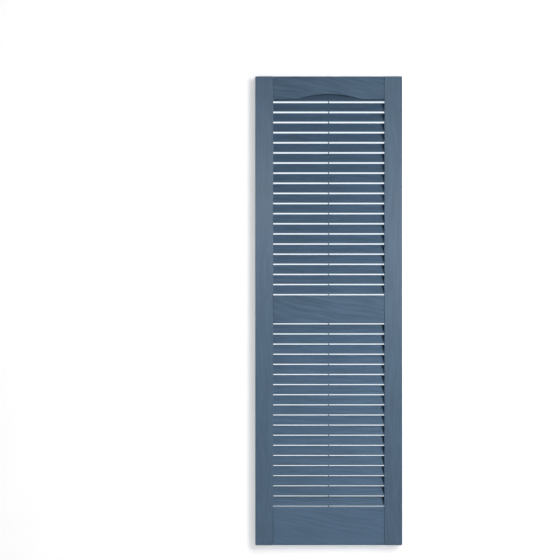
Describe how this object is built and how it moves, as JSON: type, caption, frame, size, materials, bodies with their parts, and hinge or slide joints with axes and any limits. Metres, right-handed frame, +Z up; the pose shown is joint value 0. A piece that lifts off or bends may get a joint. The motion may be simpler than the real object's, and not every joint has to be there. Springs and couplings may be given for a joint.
{
  "type": "louvred shutter",
  "caption": "Tall moulded plastic window shutter with banks of fixed open louvres above and below a middle rail, and a top rail with an arched lower edge.",
  "frame": {"origin": "middle of the bottom edge in the plane of the wall, on the back rim of the bottom rail", "axes": "+Z up along the stiles, +Y into the wall, +X to the right seen from the front"},
  "size_m": [0.3682, 0.0286, 1.1743],
  "materials": {
    "stile": "moulded wood grain running up the stile, low sheen",
    "rail": "moulded wood grain running along the rail, low sheen",
    "louvre": "fine moulded grain along the louvres, low sheen",
    "screw": "bright zinc plate"
  },
  "bodies": {
    "root": {"left_stile": "stile", "right_stile": "stile", "bottom_rail": "rail", "mid_rail": "rail", "top_rail": "rail", "lower_louvre_bank": "louvre", "upper_louvre_bank": "louvre", "joint_screws": "screw"}
  },
  "joints": []
}
